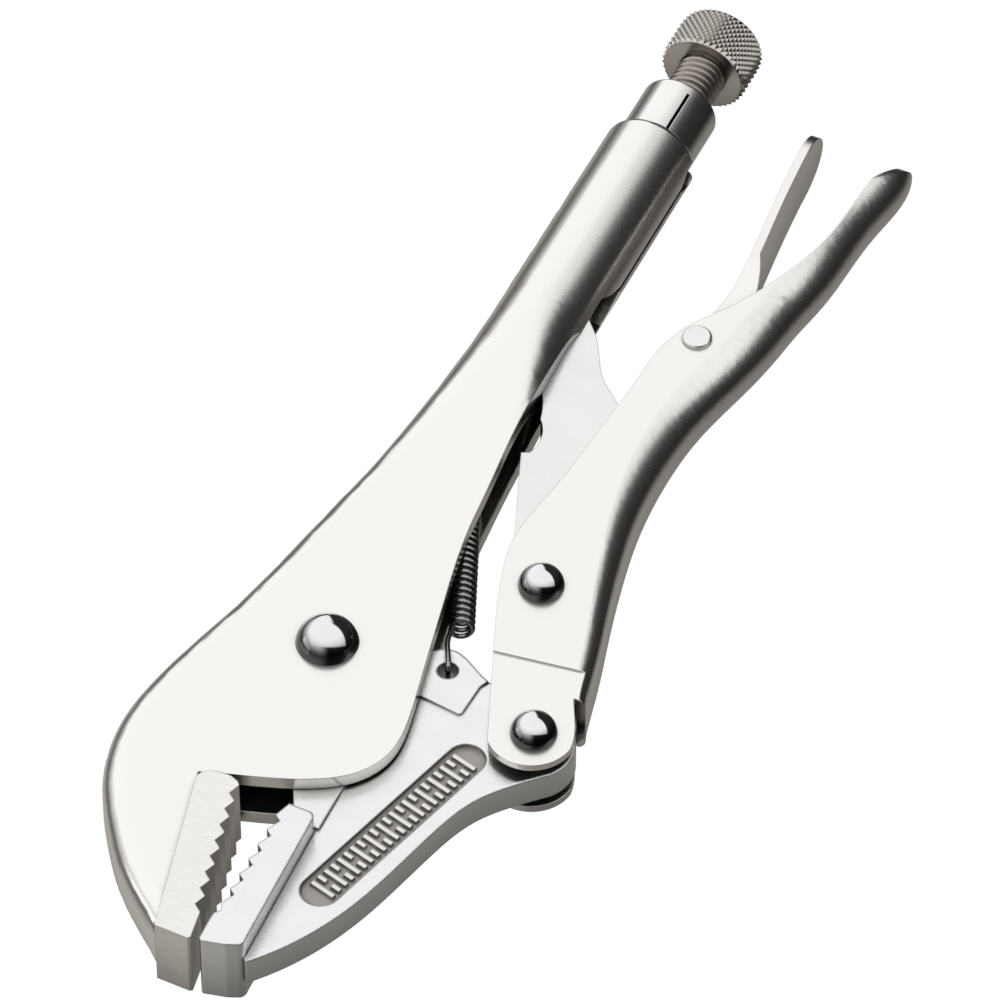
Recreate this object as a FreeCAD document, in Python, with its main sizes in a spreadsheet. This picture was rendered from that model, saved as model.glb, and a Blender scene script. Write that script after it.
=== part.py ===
"""Locking pliers with a folded sheet body, a toggle link, a release lever and a knurled adjusting screw.

The tool lies on its side. The adjusting screw's axis is parallel to +X and points away from the jaws,
the rivets are parallel to +Z, and the moving handle is on the -Y side. Every shape is drawn about the
jaw rivet, which is (0, 0, 0) here, and each sub-part's Placement then moves it to the row's origin,
the middle of the underside of the whole tool's box.
"""
import FreeCAD, Part
import math
import os
import Sketcher

Vector = FreeCAD.Vector
UP = Vector(0, 0, 1)

# ---------------------------------------------------------------- driving dimensions, millimetres
DIMENSIONS = {
    "datum_x": -52.1,
    "datum_y": 12.05,
    "datum_z": 11.5,
    "sheet_thickness": 2.8,
    "bend_radius": 4.0,
    "channel_width": 13.0,
    "handle_sheet": 1.9,
    "joggle_depth": 0.4,
    "front_bend": 2.8,
    "grip_bend": 6.7,
    "grip_start": 5.0,
    "grip_full": 100.0,
    "handle_tip_length": 14.0,
    "tube_radius": 9.4,
    "tube_end_radius": 9.25,
    "tube_start": 40.0,
    "tube_full": 96.0,
    "tube_end": 144.4,
    "shoulder_radius": 2.5,
    "seam_width": 1.3,
    "jaw_width": 15.0,
    "plate_thickness": 7.2,
    "arm_thickness": 6.1,
    "tooth_depth": 1.3,
    "recess_depth": 0.9,
    "recess_width": 7.4,
    "jaw_shank_radius": 3.5,
    "jaw_head_radius": 5.85,
    "jaw_head_height": 5.0,
    "handle_pivot_x": -3.9,
    "handle_pivot_y": -43.0,
    "link_pivot_x": 28.4,
    "link_pivot_y": -29.6,
    "small_shank_radius": 2.8,
    "small_head_radius": 4.3,
    "small_head_height": 4.2,
    "lever_pin_x": 96.6,
    "lever_pin_y": -30.3,
    "lever_shank_radius": 1.9,
    "lever_head_radius": 2.8,
    "lever_head_height": 0.9,
    "lever_thickness": 1.7,
    "lever_width": 11.6,
    "lever_front_width": 8.0,
    "running_clearance": 0.05,
    "link_nose_x": 99.9,
    "link_nose_radius": 4.4,
    "screw_radius": 4.9,
    "screw_tip_x": 105.6,
    "screw_tip_chamfer": 1.0,
    "screw_in_knob": 7.0,
    "sleeve_radius": 7.7,
    "sleeve_start": 124.0,
    "sleeve_end": 157.0,
    "sleeve_edge_radius": 0.7,
    "slit_width": 0.55,
    "slit_y": -2.7,
    "slit_end": 154.6,
    "knob_start": 167.3,
    "knob_radius": 8.9,
    "knob_length": 10.0,
    "knob_edge_radius": 1.3,
    "spring_hole_x": 5.2,
    "spring_hole_y": -21.7,
    "spring_hole_radius": 1.95,
    "spring_radius": 2.5,
    "spring_wire_radius": 0.5,
    "spring_anchor_x": 58.0,
    "spring_anchor_y": 0.5,
    "tab_width": 5.0,
    "tab_height": 10.5,
    "tab_foot": 2.6,
    "hook_clearance": 0.7,
    "hook_start": 0.4,
    "anchor_hole_radius": 1.3,
}

doc = FreeCAD.newDocument("locking_pliers")
sheet = doc.addObject("Spreadsheet::Sheet", "dims")
for row, (alias, value) in enumerate(DIMENSIONS.items(), start=1):
    sheet.set(f"A{row}", alias)
    sheet.set(f"B{row}", str(value))
    sheet.setAlias(f"B{row}", alias)
doc.recompute()


def dim(alias):
    """A driving dimension's value, read from the sheet."""
    return float(sheet.get(alias))


# ---------------------------------------------------------------- helpers
def bind(thing, **cells):
    """Bind properties to expressions over the sheet; a double underscore stands for a dot."""
    for name, expression in cells.items():
        thing.setExpression(name.replace("__", "."), expression)
    return thing


def place(thing, label):
    """Name a finished sub-part and move it from the jaw rivet to the row's origin."""
    thing.Label = label
    bind(thing, Placement__Base__x="dims.datum_x", Placement__Base__y="dims.datum_y",
         Placement__Base__z="dims.datum_z")
    subparts.append(thing)
    return thing


def outline(start, *runs):
    """The curves of a closed outline. A run is ("line", point...), ("arc", middle, end) or
    ("curve", point...), which passes smoothly through its points."""
    curves = []
    at = Vector(*start, 0)
    for kind, *points in runs:
        points = [Vector(*point, 0) for point in points]
        if kind == "arc":
            curves.append(Part.Arc(at, *points))
        elif kind == "curve":
            spline = Part.BSplineCurve()
            spline.interpolate([at, *points])
            curves.append(spline)
        else:
            curves += [Part.LineSegment(a, b) for a, b in zip([at, *points], points)]
        at = points[-1]
    if at.distanceToPoint(Vector(*start, 0)) > 1e-6:
        curves.append(Part.LineSegment(at, Vector(*start, 0)))
    return curves


def sketch_on(body, name, curves, lift=None, turn=None, role="XY_Plane"):
    """A sketch on one of the body's own origin planes, lifted along Z and turned if asked."""
    plane = next(item for item in body.Origin.OriginFeatures if item.Role == role)
    sketch = body.newObject("Sketcher::SketchObject", name)
    sketch.AttachmentSupport = [(plane, "")]
    sketch.MapMode = "FlatFace"
    if turn:
        sketch.AttachmentOffset = turn
    if lift:
        sketch.setExpression("AttachmentOffset.Base.z", lift)
    for curve in curves:
        sketch.addGeometry(curve, False)
    return sketch


def circle_on(body, name, x_cell, y_cell, radius):
    """A sketch of one circle whose centre and radius are bound to the sheet."""
    sketch = sketch_on(body, name, [Part.Circle(Vector(dim(x_cell), dim(y_cell), 0), UP, 1.0)])
    for kind, cell, label in (("DistanceX", x_cell, "across"), ("DistanceY", y_cell, "up")):
        index = sketch.addConstraint(Sketcher.Constraint(kind, -1, 1, 0, 3, dim(cell)))
        sketch.renameConstraint(index, label)
        sketch.setExpression("Constraints." + label, "dims." + cell)
    index = sketch.addConstraint(Sketcher.Constraint("Radius", 0, 1.0))
    sketch.renameConstraint(index, "radius")
    sketch.setExpression("Constraints.radius", radius)
    return sketch


def circle_at_rivet(body, name, radius):
    """A sketch of a circle on the jaw rivet's axis, its radius bound to the sheet."""
    sketch = sketch_on(body, name, [Part.Circle(Vector(), UP, 1.0)])
    sketch.addConstraint(Sketcher.Constraint("Coincident", 0, 3, -1, 1))
    index = sketch.addConstraint(Sketcher.Constraint("Radius", 0, 1.0))
    sketch.renameConstraint(index, "radius")
    sketch.setExpression("Constraints.radius", radius)
    return sketch


def grow(body, name, sketch, length):
    """Pad a sketch by half the length to each side of its plane."""
    pad = body.newObject("PartDesign::Pad", name)
    pad.Profile = sketch
    pad.SideType = "Symmetric"
    bind(pad, Length=length)
    return pad


def cut(body, name, sketch, length):
    """Cut a sketch out by half the length to each side of its plane."""
    pocket = body.newObject("PartDesign::Pocket", name)
    pocket.Profile = sketch
    pocket.SideType = "Symmetric"
    bind(pocket, Length=length)
    return pocket


def round_edges(body, name, base, radius, chosen):
    """Fillet the edges of a feature that the test accepts."""
    doc.recompute()
    names = [f"Edge{i}" for i, edge in enumerate(base.Shape.Edges, start=1) if chosen(edge)]
    fillet = body.newObject("PartDesign::Fillet", name)
    fillet.Base = (base, names)
    bind(fillet, Radius=radius)
    return fillet


def curved_at(height):
    """Accepts curved edges that lie flat at this height on either side of the middle plane."""
    def test(edge):
        box = edge.BoundBox
        flat = box.ZLength < 1e-3 and abs(abs(box.ZMin) - height) < 1e-3
        return flat and not isinstance(edge.Curve, Part.Line)
    return test


def round_bar(name, x_axis, radius, start, end):
    """A cylinder along X, or along Z at a place given as a pair of expressions."""
    bar = doc.addObject("Part::Cylinder", name)
    bind(bar, Radius=radius, Height=f"{end} - ({start})")
    if x_axis is True:
        bar.Placement = FreeCAD.Placement(Vector(), FreeCAD.Rotation(Vector(0, 1, 0), 90))
        bind(bar, Placement__Base__x=start)
    else:
        bind(bar, Placement__Base__x=x_axis[0], Placement__Base__y=x_axis[1],
             Placement__Base__z=start)
    return bar


def fuse(name, pieces):
    joined = doc.addObject("Part::MultiFuse", name)
    joined.Shapes = pieces
    return joined


def subtract(name, base, tool):
    result = doc.addObject("Part::Cut", name)
    result.Base = base
    result.Tool = tool
    return result


subparts = []
CHANNEL_INSIDE = "dims.channel_width - 2 * dims.sheet_thickness"
# Lengths of cuts that go right through: across the tool's width, and across its whole height.
THROUGH = "4 * dims.jaw_width"
WHOLE_HEIGHT = "8 * dims.jaw_width"
# Past the tool's outside in any direction from the jaw rivet, but for the tube's end.
REACH = 90.0


# ---------------------------------------------------------------- fixed handle: channel into tube
# Outer line of the spine, from the nose of the fixed jaw over its hump to the tube.
SPINE = [(-72.9, -1.5), (-69.1, 3.0), (-64.7, 8.2), (-59.4, 13.4), (-53.0, 18.2), (-44.5, 23.3),
         (-36.5, 25.8), (-30.0, 26.5), (-22.0, 25.9), (-12.0, 23.9), (2.0, 20.2), (16.0, 17.3),
         (28.0, 15.2), (40.0, 13.0)]
# The same line's height further on, where the channel closes into the tube.
SPINE_HEIGHTS = [(40.0, 13.0), (47.0, 11.9), (54.0, 11.05), (63.0, 10.15), (72.0, 9.6), (84.0, 9.4)]
# Free edge of the cheeks, from the tube back under the belly to the fixed jaw.
BELLY = [(31.4, -12.3), (16.8, -15.3), (-3.6, -19.9), (-11.4, -21.5), (-18.9, -21.6),
         (-25.2, -18.6), (-30.6, -11.3), (-33.9, -3.0), (-36.6, 5.2)]
# Lower edge of the tube's cheeks, on to the slot that the link slides in.
MOUTH_EDGE = [(48.3, -10.4), (60.0, -9.3), (72.0, -8.7), (84.0, -8.2), (90.0, -8.4), (94.0, -9.8),
              (97.0, -13.0)]
# The short straight left between the arcs where a section of the tube is all but round.
FLAT = 0.02
# How far apart the ends of the channel and the tube may lie where they are fused.
JOINT_TOLERANCE = 0.06
# How much wider than the tube's end the rounded bar that shapes its rim is.
RIM_EASE = 0.08
JAW_SEAT_REAR = (-37.4, 7.5)
JAW_SEAT_FRONT = (-72.9, -1.5)


def spline(points):
    curve = Part.BSplineCurve()
    curve.interpolate([Vector(x, y, 0) for x, y in points])
    return curve


def shifted(curve, distance):
    """The points of a curve moved sideways, to the right of its direction."""
    first, last = curve.FirstParameter, curve.LastParameter
    moved = []
    for step in range(31):
        at = first + (last - first) * step / 30
        side = curve.tangent(at)[0].cross(UP)
        point = curve.value(at) + side * distance
        moved.append((point.x, point.y))
    return moved


def slab(curves, half):
    face = Part.Face(Part.Wire([curve.toShape() for curve in curves]))
    face.translate(Vector(0, 0, -half))
    return face.extrude(Vector(0, 0, 2 * half))


def rounded_slab(line, half, radius):
    """Everything below a line, as a slab whose long edges along the line are rounded."""
    closing = ("line", (line[-1][0], -REACH), (line[0][0], -REACH))
    block = slab(outline(line[0], ("curve", *line[1:]), closing), half)
    test = curved_at(half)
    return block.makeFillet(radius, [edge for edge in block.Edges if test(edge)])


def blend_in(x, start, end):
    """0 before start, 1 after end, smooth between."""
    part = min(max((x - start) / (end - start), 0.0), 1.0)
    return part * part * (3 - 2 * part)


def tube_section(x, inset):
    """A rounded rectangle across the tube at x: the channel's section at the start, a circle later."""
    share = blend_in(x, dim("tube_start"), dim("tube_full"))
    taper = max(0.0, (x - dim("tube_full")) / (dim("tube_end") - dim("tube_full")))
    ring = dim("tube_radius") - taper * (dim("tube_radius") - dim("tube_end_radius"))
    half = dim("channel_width") / 2 * (1 - share) + (ring - FLAT) * share
    heights = spline([*SPINE_HEIGHTS[:-1], (dim("tube_full"), dim("tube_radius"))])
    if x < dim("tube_full"):
        top = height_on(heights, x)
    else:
        top = ring
    bottom = -(dim("tube_start") * 0.38) * (1 - share) - ring * share
    corner = dim("bend_radius") * (1 - share) + (half - FLAT) * share
    half, top, bottom, corner = half - inset, top - inset, bottom + inset, corner - inset
    corner = min(corner, half - FLAT, (top - bottom) / 2 - FLAT)
    edges = []
    for z_side, y_side in ((1, 1), (1, -1), (-1, -1), (-1, 1)):
        y_corner = top if y_side > 0 else bottom
        centre = Vector(x, y_corner - y_side * corner, z_side * (half - corner))
        on_end = centre + Vector(0, y_side * corner, 0)
        on_side = centre + Vector(0, 0, z_side * corner)
        middle = centre + Vector(0, y_side, z_side) * (corner / math.sqrt(2))
        ends = (on_end, on_side) if z_side == y_side else (on_side, on_end)
        edges.append((ends[0], middle, ends[1]))
    curves = []
    for (first, middle, last), following in zip(edges, edges[1:] + edges[:1]):
        curves.append(Part.Arc(first, middle, last).toShape())
        curves.append(Part.LineSegment(last, following[0]).toShape())
    return Part.Wire(curves)


def height_on(curve, x):
    """The height of a curve that runs steadily along X."""
    low, high = curve.FirstParameter, curve.LastParameter
    for _ in range(40):
        middle = (low + high) / 2
        if curve.value(middle).x < x:
            low = middle
        else:
            high = middle
    return curve.value(low).y


def tube_body(inset, end):
    """The outside of the tube, or its inside when the sections are drawn in by the wall."""
    start, count = dim("tube_start"), 16
    stations = [start + (end - start) * step / count for step in range(count + 1)]
    return Part.makeLoft([tube_section(x, inset) for x in stations], True, False)


def x_cylinder(radius, start, end):
    return Part.makeCylinder(radius, end - start, Vector(start, 0, 0), Vector(1, 0, 0))


def fixed_handle():
    half, wall = dim("channel_width") / 2, dim("sheet_thickness")
    start, end = dim("tube_start"), dim("tube_end")
    shell = rounded_slab(SPINE, half, dim("bend_radius"))
    inner_line = shifted(spline(SPINE), wall)
    (x_before, y_before), (x_last, y_last) = inner_line[-2:]
    past_end = (2 * x_last - x_before, 2 * y_last - y_before)
    inside = rounded_slab([*inner_line, past_end], half - wall, dim("bend_radius") - wall)
    below = outline((start, -11.2), ("curve", *BELLY), ("line", JAW_SEAT_REAR, JAW_SEAT_FRONT),
                    ("line", (-REACH, -10), (-REACH, -REACH), (start, -REACH)))
    shell = shell.cut(inside).cut(slab(below, 2 * half))

    # A bar with a rounded end, a little wider than the tube at the end and far wider before it.
    wide_bar = x_cylinder(2 * dim("tube_radius"), start - 1, end - 4)
    end_bar = x_cylinder(dim("tube_end_radius") + RIM_EASE, end - 5, end)
    rim = [edge for edge in end_bar.Edges if edge.BoundBox.XMin > end - 0.01]
    end_bar = end_bar.makeFillet(dim("shoulder_radius"), rim)
    tube = tube_body(0, end).common(wide_bar.fuse(end_bar)).cut(tube_body(wall, end + 1))

    mouth = outline((start - 1, -11.3), ("line", (start, -11.2)), ("curve", *MOUTH_EDGE),
                    ("line", (MOUTH_EDGE[-1][0], -REACH), (start - 1, -REACH)))
    tube = tube.cut(slab(mouth, half * 2))
    seam = dim("seam_width") / 2
    wide = half - wall
    mouth_end = dim("link_nose_x") + 1.2
    side = [(start + 20, wide), (mouth_end, wide), (mouth_end + 3.5, wide / 2), (mouth_end + 7, seam),
            (end - 7.5, seam), (end - 4, 2.2), (end + 2, 2.4)]
    slot = [Vector(x, 0, z) for x, z in side] + [Vector(x, 0, -z) for x, z in reversed(side)]
    tube = tube.cut(Part.Face(Part.makePolygon(slot + slot[:1])).extrude(Vector(0, -REACH, 0)))

    anchor_x, anchor_y = dim("spring_anchor_x"), dim("spring_anchor_y")
    tab_corner = Vector(anchor_x - dim("tab_width") / 2, anchor_y - dim("tab_foot"), -wall / 2)
    tab = Part.makeBox(dim("tab_width"), dim("tab_height"), wall, tab_corner)
    shape = shell.fuse([tube, tab], JOINT_TOLERANCE).removeSplitter()
    jaw_bore = dim("jaw_shank_radius") + dim("running_clearance")
    shape = shape.cut(Part.makeCylinder(jaw_bore, 4 * half, Vector(0, 0, -2 * half)))
    anchor_hole = Part.makeCylinder(dim("anchor_hole_radius"), 2 * wall, Vector(anchor_x, anchor_y, -wall))
    shape = shape.cut(anchor_hole)
    part = doc.addObject("Part::Feature", "fixed_handle")
    part.Shape = shape
    place(part, "fixed_handle")


# ---------------------------------------------------------------- jaws
def teeth(first_tip, last_tip, count, lead, into):
    """A saw-toothed line through its tips, each root a share of the pitch after a tip."""
    first, last = Vector(*first_tip, 0), Vector(*last_tip, 0)
    pitch = (last - first) * (1 / (count - 1))
    depth = Vector(*into, 0) * dim("tooth_depth")
    points = []
    for index in range(count):
        tip = first + pitch * index
        points.append((tip.x, tip.y))
        if index < count - 1:
            root = tip + pitch * lead + depth
            points.append((root.x, root.y))
    return points


def fixed_jaw():
    """The toothed block under the cheeks, and the tang that holds it between them."""
    body = doc.addObject("PartDesign::Body", "fixed_jaw")
    saw = teeth((-37.9, -0.9), (-66.9, -7.5), 9, 0.56, (-0.22, 0.975))
    nose = [(-73.0, -5.0), (-73.1, -8.0), (-72.7, -8.5), (-67.9, -7.7)]
    curves = outline(JAW_SEAT_FRONT, ("line", *nose),
                     ("line", *reversed(saw)), ("line", (-37.2, -0.3), (-36.6, 1.2)),
                     ("curve", (-36.8, 4.5), (-37.8, 6.3), (-39.4, 6.98)))
    grow(body, "fixed_block", sketch_on(body, "fixed_block_side", curves), "dims.jaw_width")
    tang = outline((-67.2, -0.9), ("curve", (-62.4, 5.2), (-57.3, 10.4), (-51.1, 15.0), (-45.0, 18.4)),
                   ("line", (-40.0, 16.5), (-38.0, 6.4), (-50.0, 2.0)))
    grow(body, "fixed_tang", sketch_on(body, "fixed_tang_side", tang), "dims.plate_thickness")
    place(body, "fixed_jaw")


ARM_LOWER = [(-65.3, -22.2), (-56.0, -27.5), (-50.0, -29.9), (-40.0, -32.8), (-29.6, -35.4),
             (-20.0, -39.0), (-13.4, -44.2), (-9.0, -48.6)]


def moving_jaw():
    """A forged arm, a wider toothed block at its end and a boss that turns between the cheeks."""
    body = doc.addObject("PartDesign::Body", "moving_jaw")
    arm = outline((-70.5, -18.0), ("curve", *ARM_LOWER), ("arc", (-3.2, -50.5), (3.6, -46.0)),
                  ("curve", (4.6, -40.5), (5.6, -34.0), (6.4, -27.5)),
                  ("line", (3.0, -17.0), (-20.0, -13.0), (-36.5, -12.4), (-66.0, -13.0)))
    grow(body, "arm", sketch_on(body, "arm_side", arm), "dims.arm_thickness")

    saw = teeth((-41.3, -9.8), (-63.6, -9.9), 7, 0.27, (0.0, -1.0))
    block = outline((-72.6, -10.4), ("line", (-71.6, -14.7), (-70.7, -16.8)),
                    ("arc", (-70.0, -17.3), (-68.9, -17.4)), ("line", (-39.6, -16.2)),
                    ("arc", (-38.5, -15.8), (-38.1, -14.8)), ("line", (-38.0, -10.9)), ("line", *saw),
                    ("line", (-64.9, -10.6), (-66.2, -9.75), (-68.7, -9.75), (-72.2, -9.95)))
    grow(body, "moving_block", sketch_on(body, "moving_block_side", block), "dims.jaw_width")

    boss = outline((-38.2, -16.7), ("line", (-38.0, -11.5)),
                   ("curve", (-30.0, -7.5), (-20.0, -1.0), (-12.5, 5.0)),
                   ("arc", (0.5, 13.5), (13.0, 3.5)), ("curve", (13.2, -4.0), (10.6, -11.0), (8.6, -17.6)),
                   ("curve", (10.0, -21.0), (8.7, -24.5), (6.0, -29.4)),
                   ("line", (4.2, -28.6), (-2.6, -28.3)), ("arc", (-3.1, -28.1), (-3.3, -27.7)),
                   ("line", (-2.3, -19.4), (-27.0, -16.5)))
    grow(body, "boss", sketch_on(body, "boss_side", boss), "dims.plate_thickness")
    bore_and_recess(body)
    place(body, "moving_jaw")


def bore_and_recess(body):
    """Cut the moving jaw's bores and its long recesses, one on each face of the arm."""
    bore = "dims.{} + dims.running_clearance"
    jaw_bore = circle_at_rivet(body, "jaw_bore", bore.format("jaw_shank_radius"))
    cut(body, "jaw_bore_cut", jaw_bore, THROUGH)
    lug_bore = circle_on(body, "lug_bore", "handle_pivot_x", "handle_pivot_y",
                         bore.format("small_shank_radius"))
    cut(body, "lug_bore_cut", lug_bore, THROUGH)
    hole = circle_on(body, "spring_hole", "spring_hole_x", "spring_hole_y", "dims.spring_hole_radius")
    cut(body, "spring_hole_cut", hole, THROUGH)
    rear, front = Vector(-12.1, -33.4, 0), Vector(-50.2, -22.9, 0)
    along = (front - rear).normalize()
    out = along.cross(UP) * (dim("recess_width") / 2)
    tip = along * (dim("recess_width") / 2)
    flat = [rear + out, rear - tip, rear - out, front - out, front + tip, front + out]
    corner = [(point.x, point.y) for point in flat]
    for name, side in (("near", 1), ("far", -1)):
        curves = outline(corner[0], ("arc", corner[1], corner[2]), ("line", corner[3]),
                         ("arc", corner[4], corner[5]))
        floor = f"{side} * (dims.arm_thickness / 2 - dims.recess_depth)"
        sketch = sketch_on(body, name + "_recess", curves, lift=floor)
        pocket = body.newObject("PartDesign::Pocket", name + "_recess_cut")
        pocket.Profile = sketch
        pocket.Reversed = side > 0
        bind(pocket, Length="2 * dims.recess_depth")


# ---------------------------------------------------------------- moving handle
# Outer line of the web. Before the web's front end it dips away, out of reach of the cheeks.
WEB_LINE = [(-14.0, -67.0), (-6.0, -59.0), (0.0, -53.2), (4.0, -49.9), (6.5, -48.6), (9.5, -47.7),
            (13.0, -46.9), (20.7, -45.1), (30.0, -42.6), (40.0, -40.2), (49.0, -38.4), (59.0, -37.2),
            (70.0, -37.0), (82.0, -38.1), (95.0, -41.0), (114.0, -44.3), (141.0, -47.3), (158.4, -48.1)]
# Free edge of the cheeks, from the rounded end back to the jaw.
HANDLE_FREE_EDGE = [(153.3, -44.8), (150.0, -43.6), (146.0, -43.0), (138.0, -42.5), (128.5, -41.3),
                    (116.9, -37.6), (105.9, -31.9), (98.3, -27.1), (91.0, -24.9), (83.5, -24.4),
                    (68.0, -23.3), (49.5, -21.5), (36.8, -20.2), (26.3, -22.4), (12.7, -27.4), (1.5, -31.9)]
# Where its sections are drawn, closer together where the line bends.
WEB_STATIONS = [-14, -8, -3, 1, 4, 6.5, 9, 12, 16, 21, 27, 34, 42, 50, 58, 66, 75, 85, 95, 105, 118,
                130, 145, 158.4]
# The web begins here; in front of it the handle is only its two cheeks.
WEB_FRONT = 6.5


def handle_section(line, x, inset):
    """A U across the handle at x, its bends growing towards the grip until its back is all but round."""
    share = blend_in(x, dim("grip_start"), dim("grip_full"))
    bend = dim("front_bend") * (1 - share) + dim("grip_bend") * share - inset
    half = dim("channel_width") / 2 + dim("joggle_depth") - inset
    web, top = height_on(line, x) + inset, inset
    slant = bend / math.sqrt(2)
    corners = []
    for side in (1, -1):
        centre = Vector(x, web + bend, side * (half - bend))
        corners.append([centre + Vector(0, 0, side * bend), centre + Vector(0, -slant, side * slant),
                        centre + Vector(0, -bend, 0)])
    near, far = corners[0], corners[1][::-1]
    ends = [Vector(x, top, -half), Vector(x, top, half)]
    sides = [Part.LineSegment(ends[1], near[0]), Part.Arc(*near), Part.LineSegment(near[2], far[0]),
             Part.Arc(*far), Part.LineSegment(far[2], ends[0]), Part.LineSegment(*ends)]
    return Part.Wire([side.toShape() for side in sides])


def moving_handle():
    """A channel open towards the tube, its cheeks stepped in at the front where they hold the jaw's arm."""
    line = spline(WEB_LINE)
    end_x, half = WEB_LINE[-1][0], dim("channel_width") / 2 + dim("joggle_depth")
    outside, inside = (Part.makeLoft([handle_section(line, x, inset) for x in WEB_STATIONS], True, False)
                       for inset in (0, dim("handle_sheet")))
    trim = outline((end_x + 1, -45.9), ("line", (157.4, -45.9)), ("curve", *HANDLE_FREE_EDGE),
                   ("line", (-9.0, -36.2)), ("arc", (-11.75, -43.6), (-4.4, -50.6)),
                   ("curve", (-1.2, -49.9), (2.4, -48.3), (WEB_FRONT, -46.2)),
                   ("line", (WEB_FRONT, -REACH), (-REACH, -REACH)), ("line", (-REACH, 1), (end_x + 1, 1)))
    shape = outside.cut(inside).cut(slab(trim, 2 * half))

    step = slab(outline((13.1, -47.5), ("line", (10.1, -26.0), (-REACH, -26.0), (-REACH, -REACH)),
                        ("line", (13.1, -REACH))), half)
    for side in (1, -1):
        shape = shape.cut(step.translated(Vector(0, 0, side * (2 * half - dim("joggle_depth")))))

    long, wide = dim("handle_tip_length"), half * 1.02
    rounding = [(end_x - long + long * math.cos(turn), wide * math.sin(turn))
                for turn in (math.radians(degrees) for degrees in range(90, -91, -15))]
    around = outline(rounding[0], ("curve", *rounding[1:]),
                     ("line", (end_x - long, -REACH), (end_x + long, -REACH), (end_x + long, REACH)),
                     ("line", (end_x - long, REACH)))
    beyond = slab(around, REACH)
    beyond.rotate(Vector(), Vector(1, 0, 0), 90)
    shape = shape.cut(beyond)
    for where, shank in (("handle_pivot", "small_shank_radius"), ("link_pivot", "small_shank_radius"),
                         ("lever_pin", "lever_shank_radius")):
        foot = Vector(dim(where + "_x"), dim(where + "_y"), -2 * half)
        shape = shape.cut(Part.makeCylinder(dim(shank) + dim("running_clearance"), 4 * half, foot))
    part = doc.addObject("Part::Feature", "moving_handle")
    part.Shape = shape
    place(part, "moving_handle")


# ---------------------------------------------------------------- toggle link
def toggle_link():
    """A plate from the moving handle to the adjusting screw's tip, ending in a round nose."""
    body = doc.addObject("PartDesign::Body", "toggle_link")
    nose, radius = dim("link_nose_x"), dim("link_nose_radius")
    side = outline((23.6, -25.2), ("line", (39.0, -19.2), (59.3, -11.2), (59.9, -12.7)),
                   ("arc", (63.6, -13.2), (68.4, -11.0)),
                   ("curve", (80.0, -5.2), (90.0, 1.2), (nose - 2.6, 3.55)),
                   ("arc", (nose + radius, 0), (nose - 0.4, -radius + 0.02)),
                   ("curve", (95.8, -8.2), (91.2, -12.2), (82.4, -17.6), (77.4, -23.0),
                    (70.0, -26.6), (54.0, -30.2), (33.0, -35.6)),
                   ("arc", (22.2, -32.6), (23.6, -25.2)))
    grow(body, "link_plate", sketch_on(body, "link_side", side), "dims.plate_thickness")
    hole = circle_on(body, "link_bore", "link_pivot_x", "link_pivot_y",
                     "dims.small_shank_radius + dims.running_clearance")
    cut(body, "link_bore_cut", hole, THROUGH)
    place(body, "toggle_link")


# ---------------------------------------------------------------- release lever
# Outer line of the lever's web, from over its pin to its end.
LEVER_BACK = [(96.0, -26.6), (102.0, -28.3), (108.5, -29.7), (116.0, -30.4), (123.0, -30.1),
              (131.5, -29.2), (146.0, -27.9), (159.4, -27.3)]


def release_lever():
    """A thin channel at the pin that widens into a flat, rounded thumb plate."""
    body = doc.addObject("PartDesign::Body", "release_lever")
    wall = dim("lever_thickness")
    start = (91.0, -25.9)
    back = spline([start, *LEVER_BACK])
    under = shifted(back, wall)
    tail = [point for point in under if point[0] > 121.5]
    side = outline(start, ("curve", *LEVER_BACK), ("line", tail[-1]), ("curve", *reversed(tail[:-1])),
                   ("curve", (118.5, -33.6), (112.0, -35.2), (101.0, -36.0), (94.0, -35.0), (90.6, -31.5)))
    grow(body, "lever_blank", sketch_on(body, "lever_side", side), "dims.lever_width")
    gap = [point for point in under if 90.0 < point[0] < 126.0]
    cavity = outline((0, gap[0][1]), ("line", gap[0]), ("curve", *gap[1:]),
                     ("line", (gap[-1][0], -REACH), (0, -REACH)))
    cut(body, "lever_gap", sketch_on(body, "lever_gap_side", cavity),
        "dims.lever_front_width - 2 * dims.lever_thickness")
    narrow, wide, end_x = dim("lever_front_width") / 2, dim("lever_width") / 2, LEVER_BACK[-1][0]
    flare = [(110.0, narrow), (112.5, narrow + 0.3), (118.5, wide - 0.3), (122.5, wide)]
    flare_back = [(x, -z) for x, z in reversed(flare)]
    turns = [math.radians(degrees) for degrees in range(75, -91, -15)]
    tip = [(end_x - wide * 1.4 * (1 - math.cos(turn)), wide * math.sin(turn)) for turn in turns]
    shape = outline((0, narrow), ("line", flare[0]), ("curve", *flare[1:]),
                    ("line", (end_x - wide * 1.4, wide)), ("curve", *tip),
                    ("line", flare_back[0]), ("curve", *flare_back[1:]), ("line", (0, -narrow)),
                    ("line", (0, -REACH), (2 * REACH, -REACH), (2 * REACH, REACH), (0, REACH)))
    cut(body, "lever_plan_cut", sketch_on(body, "lever_plan", shape, role="XZ_Plane"), WHOLE_HEIGHT)
    hole = circle_on(body, "lever_bore", "lever_pin_x", "lever_pin_y",
                     "dims.lever_shank_radius + dims.running_clearance")
    cut(body, "lever_bore_cut", hole, THROUGH)
    place(body, "release_lever")


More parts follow.
